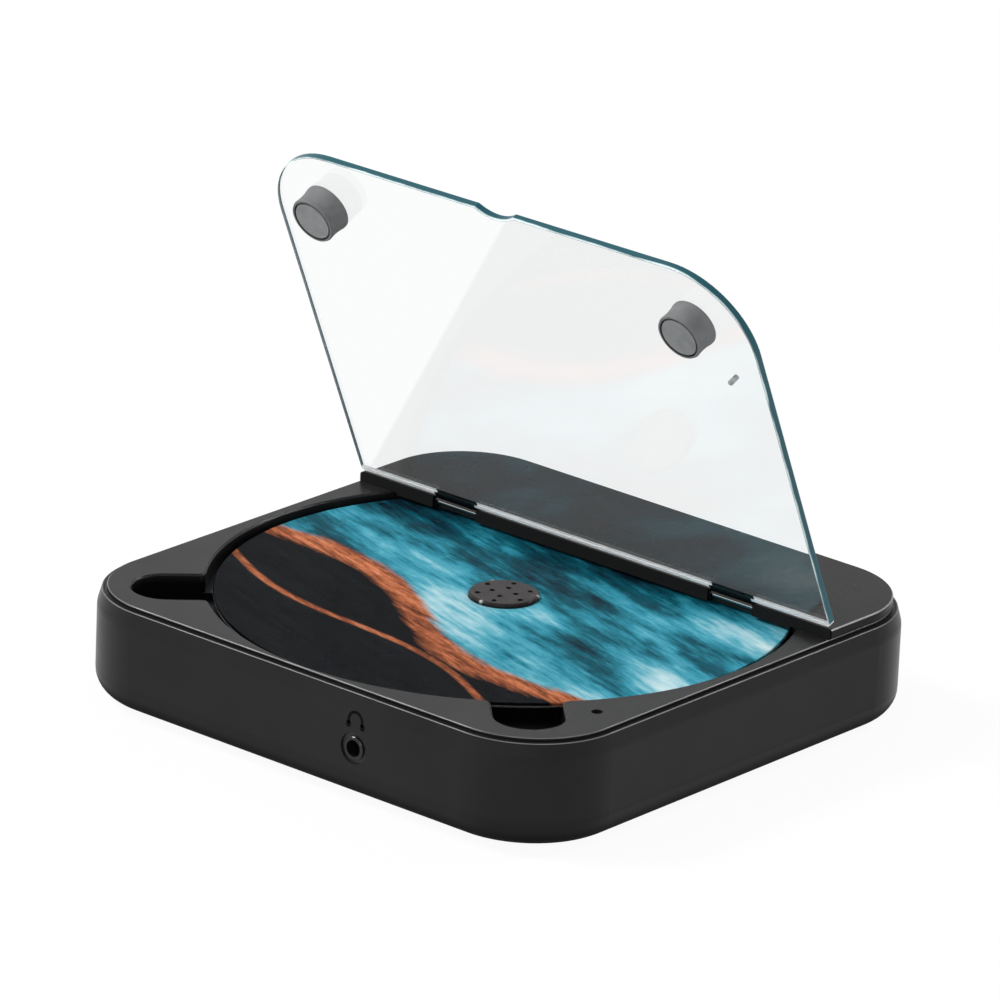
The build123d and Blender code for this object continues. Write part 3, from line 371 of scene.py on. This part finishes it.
finishes = {
    "satinBlack": {
        "dark": (0.0125, 0.0125, 0.0128), "light": (0.016, 0.016, 0.0163), "rough": (0.30, 0.36), "patch": 45,
        # the edges' pale colour is a painted highlight; the recess and foot colour is painted shade
        "grain": 3800, "depth": 0.000008, "gloss": 0.1, "edgeHighlight": (0.19, 0.19, 0.193),
        "edges": [(0.002, 0.00016, 0.02414, 0.02440), (0.0009, 0.00014, 0.02336, 0.02352)],
        "recess": (0.002, 0.0005, 0.0222, 0.0238), "paintedShade": (0.0022, 0.0022, 0.0022),
        "foot": (0.003, 0.0075), "footRough": 0.95, "footShare": 0.8},
    "panelBlack": {
        "dark": (0.0125, 0.0127, 0.0129), "light": (0.0165, 0.0167, 0.0169), "rough": (0.24, 0.30), "patch": 40,
        # the edges' pale colour is a painted highlight; the face colour is painted shade and the ledge colour a
        # painted shadow
        "grain": 3400, "depth": 0.000003, "gloss": 0.05, "edgeHighlight": (0.40, 0.40, 0.405),
        "edges": [(0.002, 0.00026, 0.02603, 0.0264)],
        "face": (0.02845, 0.0290), "paintedShade": (0.013, 0.013, 0.0132), "ledgeShadow": (0.001, 0.001, 0.001),
        "ledgeRough": 0.95},
    "bumperGrey": {
        "dark": (0.145, 0.147, 0.15), "light": (0.19, 0.192, 0.195), "rough": (0.5, 0.62), "patch": 300,
        "grain": 5000, "depth": 0.00001, "gloss": 0.1,
        "ring": (0.04925, -0.04825, 0.0, 0.00470), "joint": (0.012, 0.012, 0.012)},
    "capGrey": {
        "dark": (0.21, 0.215, 0.22), "light": (0.265, 0.27, 0.275), "rough": (0.4, 0.5), "patch": 400,
        "grain": 6000, "depth": 0.00001, "gloss": 0.15,
        "ring": (0.04925, -0.04825, 0.00442, 0.006), "joint": (0.012, 0.012, 0.012)},
    "nickelled": {
        "dark": (0.50, 0.50, 0.49), "light": (0.58, 0.58, 0.57), "rough": (0.22, 0.34), "metal": 1.0,
        "patch": 300, "grain": 4000, "depth": 0.000004},
    "pinSteel": {
        "dark": (0.42, 0.42, 0.415), "light": (0.56, 0.56, 0.55), "rough": (0.1, 0.18), "metal": 1.0,
        "patch": 200, "pull": (1, 12, 12), "grain": 900, "depth": 0.000003},
    "clipBlack": {
        "dark": (0.006, 0.006, 0.006), "light": (0.009, 0.009, 0.009), "rough": (0.3, 0.4), "gloss": 0.08},
    "lidPin": {"dark": (0.16, 0.17, 0.17), "light": (0.62, 0.66, 0.67), "rough": (0.2, 0.3), "patch": 700},
    "padRubber": {
        "dark": (0.012, 0.012, 0.012), "light": (0.02, 0.02, 0.02), "rough": (0.75, 0.9), "grain": 5000,
        "depth": 0.00002, "gloss": 0.3},
    "motorCan": {"dark": (0.42, 0.42, 0.41), "light": (0.5, 0.5, 0.49), "rough": (0.28, 0.4), "metal": 1.0},
    "framePlastic": {
        "dark": (0.018, 0.018, 0.019), "light": (0.027, 0.027, 0.028), "rough": (0.5, 0.65), "grain": 1800},
    "castAlloy": {
        "dark": (0.32, 0.32, 0.33), "light": (0.42, 0.42, 0.43), "rough": (0.4, 0.55), "metal": 1.0,
        "grain": 2200, "depth": 0.00002},
    "boardGreen": {
        "dark": (0.006, 0.05, 0.022), "light": (0.01, 0.085, 0.035), "rough": (0.35, 0.5), "patch": 250},
    "chipBlack": {
        "dark": (0.012, 0.012, 0.013), "light": (0.02, 0.02, 0.021), "rough": (0.5, 0.65), "patch": 400},
    "screwSteel": {
        "dark": (0.2, 0.2, 0.2), "light": (0.3, 0.3, 0.3), "rough": (0.3, 0.45), "metal": 1.0, "patch": 600},
    "jackBlack": {
        "dark": (0.006, 0.006, 0.006), "light": (0.010, 0.010, 0.010), "rough": (0.16, 0.24), "patch": 500,
        "gloss": 0.3},
    "collarBlack": {
        "dark": (0.003, 0.003, 0.003), "light": (0.005, 0.005, 0.005), "rough": (0.5, 0.6), "patch": 500},
    "cellWrap": {"dark": (0.03, 0.10, 0.22), "light": (0.04, 0.13, 0.27), "rough": (0.3, 0.42), "patch": 120},
    "keyBlack": {
        "dark": (0.013, 0.013, 0.014), "light": (0.018, 0.018, 0.019), "rough": (0.3, 0.38), "patch": 200,
        "gloss": 0.1},
    "ribbonWhite": {
        "dark": (0.55, 0.54, 0.5), "light": (0.68, 0.67, 0.63), "rough": (0.4, 0.5), "pull": (12, 1, 1)},
    "hubDark": {
        "dark": (0.012, 0.0095, 0.009), "light": (0.019, 0.015, 0.0145), "rough": (0.22, 0.3), "patch": 300,
        "gloss": 0.1},
    "lensBlue": {
        "dark": (0.02, 0.03, 0.09), "light": (0.04, 0.06, 0.16), "rough": (0.02, 0.06), "patch": 300,
        "depth": 0.0},
}
wearers = {
    "satinBlack": ["base_shell", "top_deck"],
    "panelBlack": ["rear_panel"],
    "bumperGrey": ["left_lid_bumper", "right_lid_bumper"],
    "capGrey": ["left_lid_magnet", "right_lid_magnet"],
    "nickelled": ["left_catch_magnet", "right_catch_magnet", "usb_inlet"],
    "pinSteel": ["left_hinge_pin", "right_hinge_pin", "spindle_shaft", "main_guide_rod", "idle_guide_rod",
                 "lead_screw"],
    "clipBlack": ["left_hinge_clip", "right_hinge_clip", "lid_switch", "tact_switches"],
    "lidPin": ["lid_pin"],
    "padRubber": ["turntable_pad", "damper_grommets", "front_left_foot", "front_right_foot", "rear_left_foot",
                  "rear_right_foot"],
    "motorCan": ["spindle_motor", "sled_motor"],
    "framePlastic": ["mechanism_chassis", "lens_holder"],
    "castAlloy": ["pickup_sled"],
    "boardGreen": ["main_board", "side_board"],
    "chipBlack": ["board_chips"],
    "screwSteel": ["case_screws", "panel_screws", "board_screws", "damper_screws", "hub_balls"],
    "jackBlack": ["headphone_jack"],
    "collarBlack": ["jack_ring"],
    "cellWrap": ["battery"],
    "keyBlack": ["next_button", "play_button", "previous_button", "power_slider", "switch_plunger"],
    "ribbonWhite": ["motor_ribbon"],
    "hubDark": ["turntable_hub"],
    "lensBlue": ["objective_lens"],
}


def dress(nodeName, m):
    mats = nodes[nodeName].data.materials
    mats.clear()
    mats.append(m)


for finishName, wearing in wearers.items():
    finish = plainFinish(finishName, finishes[finishName])
    for nodeName in wearing:
        dress(nodeName, finish)
print("plain finishes on", sum(len(w) for w in wearers.values()), "nodes")

acrylic = {
    "clear": (0.957, 0.96, 0.96), "tint": (0.42, 0.86, 0.90), "density": 5.0, "ior": 1.36,
    "halfWide": 0.06405, "front": -0.06155, "rear": 0.0278, "corner": 0.0184, "under": 0.0245,
    "thick": 0.0018, "thumb": (0.0, -0.06856), "thumbR": 0.00861, "skin": 0.00016, "endSkin": 0.0009,
    "clipMiddle": 0.0377, "clipHalf": 0.0056,
    "rimClear": 0.1, "endClear": 0.16, "cutRough": 0.3,
    "edgeInnerHighlight": (0.80, 0.96, 0.98), "edgeCore": (0.002, 0.075, 0.10), "edgeOuter": (0.006, 0.12, 0.155),
    "bands": (0.05, 0.24, 0.8, 0.95), "endPale": (1.0, 1.0, 1.0), "clipDark": (0.006, 0.006, 0.006),
    "wander": {"scale": 90, "detail": 3, "from": (0.3, 0.7), "share": (-0.12, 0.12)},
    "smudge": {"scale": 24, "detail": 5, "from": (0.45, 0.75), "rough": (0.0, 0.01)},
}


def makeAcrylic(v):
    # clear plate that takes its colour from the depth of plate that light goes through. The plate's own plan
    # is found by turning the place back about the hinge to the closed lid; an edge is where the distance to
    # the plan's outline (a box with round front corners) is under skin. A cut edge shows a dark teal core
    # between two paler bands, the inner one near white as a painted highlight, and the frosted rear end is
    # black with glue where the clips are bonded
    m, nt, shader, where = start("clearAcrylic")
    x, y, z = closedLid(nt, where)
    sideways = calc(nt, "ABSOLUTE", x)
    r = v["corner"]
    dx = calc(nt, "MAXIMUM", calc(nt, "SUBTRACT", sideways, v["halfWide"] - r), 0.0)
    dy = calc(nt, "MAXIMUM", calc(nt, "SUBTRACT", v["front"] + r, y), 0.0)
    rim = calc(nt, "GREATER_THAN", length(nt, dx, dy), r - v["skin"])
    scoop = length(nt, x, calc(nt, "SUBTRACT", y, v["thumb"][1]))
    rim = calc(nt, "MAXIMUM", rim, calc(nt, "LESS_THAN", scoop, v["thumbR"] + v["skin"]))
    fromClip = calc(nt, "ABSOLUTE", calc(nt, "SUBTRACT", sideways, v["clipMiddle"]))
    onClip = calc(nt, "LESS_THAN", fromClip, v["clipHalf"])
    end = calc(nt, "GREATER_THAN", y, v["rear"] - v["endSkin"])
    cut = calc(nt, "MAXIMUM", rim, end)

    through = spread(nt, z, v["under"], v["under"] + v["thick"], 0.0, 1.0)
    uneven = v["wander"]
    wander = spread(nt, cloud(nt, where, uneven["scale"], uneven["detail"]), *uneven["from"], *uneven["share"])
    # the near white inner band is a painted highlight on the cut edge
    shades = (v["edgeInnerHighlight"], v["edgeCore"], v["edgeCore"], v["edgeOuter"])
    edge = ramp(nt, calc(nt, "ADD", through, wander), list(zip(v["bands"], shades)))
    endColour = mixed(nt, onClip, v["endPale"], v["clipDark"])
    colour = mixed(nt, cut, v["clear"], mixed(nt, end, edge, endColour))
    nt.links.new(colour, shader.inputs["Base Color"])

    bareEnd = calc(nt, "SUBTRACT", end, calc(nt, "MULTIPLY", end, onClip))
    clearness = spread(nt, cut, 0, 1, 1.0, v["rimClear"])
    clearness = calc(nt, "ADD", clearness, calc(nt, "MULTIPLY", bareEnd, v["endClear"]))
    nt.links.new(clearness, shader.inputs["Transmission Weight"])
    marks = v["smudge"]
    smudge = spread(nt, cloud(nt, where, marks["scale"], marks["detail"]), *marks["from"], *marks["rough"])
    rough = calc(nt, "MAXIMUM", smudge, calc(nt, "MULTIPLY", cut, v["cutRough"]))
    nt.links.new(rough, shader.inputs["Roughness"])
    shader.inputs["IOR"].default_value = v["ior"]

    depth = nt.nodes.new("ShaderNodeVolumeAbsorption")
    depth.inputs["Color"].default_value = v["tint"] + (1,)
    depth.inputs["Density"].default_value = v["density"]
    nt.links.new(depth.outputs[0], nt.nodes["Material Output"].inputs["Volume"])
    return m


dress("lid_plate", makeAcrylic(acrylic))
print("lid dressed")

# lengths of the print are in mm from the disc's middle; a noise has its stretch, shift, detail and roughness
discPrint = {
    "middle": (0.0, 0.001, 0.0225), "turn": 0.30,
    "jitter": {"scale": (0.05, 0.5, 1), "shift": (0, 0, 0), "detail": 6, "rough": 0.6},
    "streak": {"scale": (0.05, 0.42, 1), "shift": (3.1, 1.7, 0), "detail": 9, "rough": 0.68},
    "broad": {"scale": (0.022, 0.055, 1), "shift": (8, 5, 0), "detail": 4, "rough": 0.55},
    "speck": {"scale": (0.25, 1.6, 1), "shift": (1, 9, 0), "detail": 4, "rough": 0.7},
    "jitterBy": 3.0, "jitterShare": 0.35, "waveTurn": 0.062, "waveHeight": 5.5,
    "sea": (0.27, 0.67, 0.10), "grit": (0.55, 0.45),
    "sandLevel": (-25.5, -23.5), "tealLevel": (-19.5, -17.5),
    "lineWave": -0.7, "lineLevel": 36.0, "lineHalf": (0.5, 1.1), "lineShare": 0.85,
    "teal": [(0.38, (0.003, 0.012, 0.020)), (0.42, (0.004, 0.042, 0.062)), (0.455, (0.004, 0.072, 0.102)),
             (0.51, (0.022, 0.20, 0.275)), (0.56, (0.07, 0.31, 0.395)), (0.61, (0.24, 0.45, 0.51)),
             (0.70, (0.52, 0.64, 0.65))],
    "sand": [(0.36, (0.04, 0.013, 0.008)), (0.47, (0.20, 0.055, 0.023)), (0.57, (0.44, 0.135, 0.055)),
             (0.70, (0.66, 0.30, 0.17))],
    "night": [(0.4, (0.0006, 0.0010, 0.0017)), (0.7, (0.005, 0.0066, 0.009))],
    "inkDepth": 0.2, "bare": (0.72, 0.73, 0.76), "rough": (0.2, 0.3), "roughScale": 180, "gloss": 0.008,
    "bumpScale": 3.0, "bump": 0.0000008,
}


def makeDiscPrint(v):
    # an open pattern in teal, sand orange and near black: brushed streaks along one way, broken into short
    # strokes, cut by two slow waves; below the print the disc is bare and silvery
    m, nt, shader, where = start("discPrint")
    x0, y0, z0 = v["middle"]
    flat = stretched(nt, where, (1000, 1000, 1000), shift=(-1000 * x0, -1000 * y0, -1000 * z0))
    turned = stretched(nt, flat, (1, 1, 1), turn=(0, 0, v["turn"]))
    x, y = axes(nt, turned)[:2]
    high = axes(nt, flat)[2]
    parts = {}
    for part in ("jitter", "streak", "broad", "speck"):
        n = v[part]
        parts[part] = cloud(nt, stretched(nt, turned, n["scale"], shift=n["shift"]), 1.0, n["detail"], n["rough"])

    # the height in the picture, shifted by a slow sine wave and a little unevenness
    jitter = spread(nt, parts["jitter"], noise["low"], noise["high"], -v["jitterBy"], v["jitterBy"])
    wave = calc(nt, "MULTIPLY", calc(nt, "SINE", calc(nt, "MULTIPLY", x, v["waveTurn"])), v["waveHeight"])
    level = calc(nt, "ADD", calc(nt, "ADD", y, wave), calc(nt, "MULTIPLY", jitter, v["jitterShare"]))

    streak = parts["streak"]
    teal = ramp(nt, blended(nt, *zip(v["sea"], (streak, parts["broad"], parts["speck"]))), v["teal"])
    sand = ramp(nt, blended(nt, *zip(v["grit"], (streak, parts["speck"]))), v["sand"])
    night = ramp(nt, streak, v["night"])
    lower = mixed(nt, spread(nt, level, *v["sandLevel"], 0.0, 1.0), night, sand)
    picture = mixed(nt, spread(nt, level, *v["tealLevel"], 0.0, 1.0), lower, teal)
    counter = calc(nt, "ADD", calc(nt, "ADD", y, calc(nt, "MULTIPLY", wave, v["lineWave"])), v["lineLevel"])
    line = spread(nt, calc(nt, "ABSOLUTE", counter), *v["lineHalf"], v["lineShare"], 0.0)
    picture = mixed(nt, line, picture, sand)

    printed = spread(nt, high, -v["inkDepth"], 0.0, 0.0, 1.0)
    nt.links.new(mixed(nt, printed, v["bare"], picture), shader.inputs["Base Color"])
    nt.links.new(spread(nt, printed, 0, 1, 1.0, 0.0), shader.inputs["Metallic"])
    patch = cloud(nt, where, v["roughScale"], noise["patchDetail"])
    nt.links.new(spread(nt, patch, noise["low"], noise["high"], *v["rough"]), shader.inputs["Roughness"])
    shader.inputs["Specular IOR Level"].default_value = v["gloss"]
    bumped(nt, shader, cloud(nt, turned, v["bumpScale"], noise["grainDetail"]), v["bump"])
    return m


dress("compact_disc", makeDiscPrint(discPrint))
print("disc dressed")


def strokeMark(name, strokes, v):
    # each stroke carries a flat box section along a path: half its width to either side, height outwards
    origin, right, up, out = (np.array(v[k], float) for k in ("origin", "right", "up", "out"))
    points, faces, first = [], [], 0
    for path, wide in strokes:
        path = np.asarray(path, float)
        wide = np.broadcast_to(np.asarray(wide, float), len(path))
        along = np.gradient(path, axis=0)
        along /= np.linalg.norm(along, axis=1)[:, None]
        side = np.stack([-along[:, 1], along[:, 0]], -1) * wide[:, None] / 2
        ring = np.stack([path + side, path - side, path - side, path + side], 1)
        lift = np.array([0.0, 0.0, v["height"], v["height"]])[None, :, None]
        n = len(path)
        points.append((origin + ring[..., :1] * right + ring[..., 1:] * up + lift * out).reshape(-1, 3))
        index = first + np.arange(4 * n).reshape(n, 4)
        index = np.concatenate([index, index[:, :1]], 1)
        quads = np.stack([index[:-1, :-1], index[1:, :-1], index[1:, 1:], index[:-1, 1:]], -1).reshape(-1, 4)
        faces += quads.tolist() + [index[0, :4].tolist(), index[-1, 3::-1].tolist()]
        first += 4 * n
    return meshObject(name, np.concatenate(points), faces)


headphoneMark = {
    "origin": (0.0170, -0.06375, 0.0181), "right": (1, 0, 0), "up": (0, 0, 1), "out": (0, -1, 0),
    "height": 0.00005, "band": 0.00175, "bandWide": 0.0006, "bandEnd": 0.6, "bandSteps": 41,
    "cupWide": 0.00112, "cupTall": 0.0015, "cupDown": 0.62, "cupOut": 0.1, "cupTaper": 0.995, "cupPower": 4,
    "cupSteps": 21,
    "finish": {"dark": (0.0008, 0.0008, 0.0008), "light": (0.0016, 0.0016, 0.0016), "rough": (0.12, 0.2),
               "patch": 900, "depth": 0.0, "gloss": 0.05},
}


def makeHeadphoneMark(v):
    # a half circle with two straight ends, and a rounded cup on each end (width follows a superellipse)
    r = v["band"]
    turn = np.linspace(math.pi, 0, v["bandSteps"])
    arc = np.stack([r * np.cos(turn), r * np.sin(turn)], -1)
    down = np.array([[0.0, -v["bandEnd"] * r]])
    band = np.concatenate([arc[:1] + down, arc, arc[-1:] + down])
    t = np.linspace(-1, 1, v["cupSteps"])
    cupWide = v["cupWide"] * (1 - v["cupTaper"] * np.abs(t) ** v["cupPower"]) ** 0.5
    strokes = [(band, v["bandWide"])]
    for side in (-1, 1):
        middle = side * (r + v["cupOut"] * v["cupWide"])
        strokes.append((np.stack([middle + 0 * t, -v["cupDown"] * r + v["cupTall"] * t / 2], -1), cupWide))
    o = strokeMark("headphoneMark", strokes, v)
    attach(o, "case")
    o.data.materials.append(plainFinish("markGloss", v["finish"]))


makeHeadphoneMark(headphoneMark)

keyMark = {
    "face": -0.06665, "z": 0.0118, "height": 0.00004, "wide": 0.0013, "tall": 0.0015, "bar": 0.0003,
    "barOut": 0.9, "taper": 0.99, "steps": 9,
    "finish": {"dark": (0.42, 0.43, 0.44), "light": (0.5, 0.51, 0.52), "rough": (0.45, 0.6), "patch": 900,
               "grain": 6000, "depth": 0.000004},
}
keys = {
    "nextMark": {"rides": "next_key", "y": -0.016, "shape": "forward"},
    "playMark": {"rides": "play_key", "y": -0.004, "shape": "play"},
    "previousMark": {"rides": "previous_key", "y": 0.008, "shape": "back"},
}


def makeKeyMark(name, key, v):
    # a triangle is a stroke whose width falls evenly to nothing, and a bar is a short upright stroke
    w, h = v["wide"], v["tall"]
    t = np.linspace(0, 1, v["steps"])
    way = -1 if key["shape"] == "back" else 1
    strokes = [(np.stack([way * w * (t - 0.5), 0 * t], -1), h * (1 - v["taper"] * t))]
    if key["shape"] != "play":
        barAt = way * (0.5 * w + v["barOut"] * v["bar"])
        strokes.append((np.stack([barAt + 0 * t, h * (t - 0.5)], -1), v["bar"]))
    seat = {"origin": (v["face"], key["y"], v["z"]), "right": (0, -1, 0), "up": (0, 0, 1), "out": (-1, 0, 0),
            "height": v["height"]}
    o = strokeMark(name, strokes, seat)
    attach(o, key["rides"])
    return o


markPrint = plainFinish("markPrint", keyMark["finish"])
for markName, key in keys.items():
    makeKeyMark(markName, key, keyMark).data.materials.append(markPrint)
print("marks made")
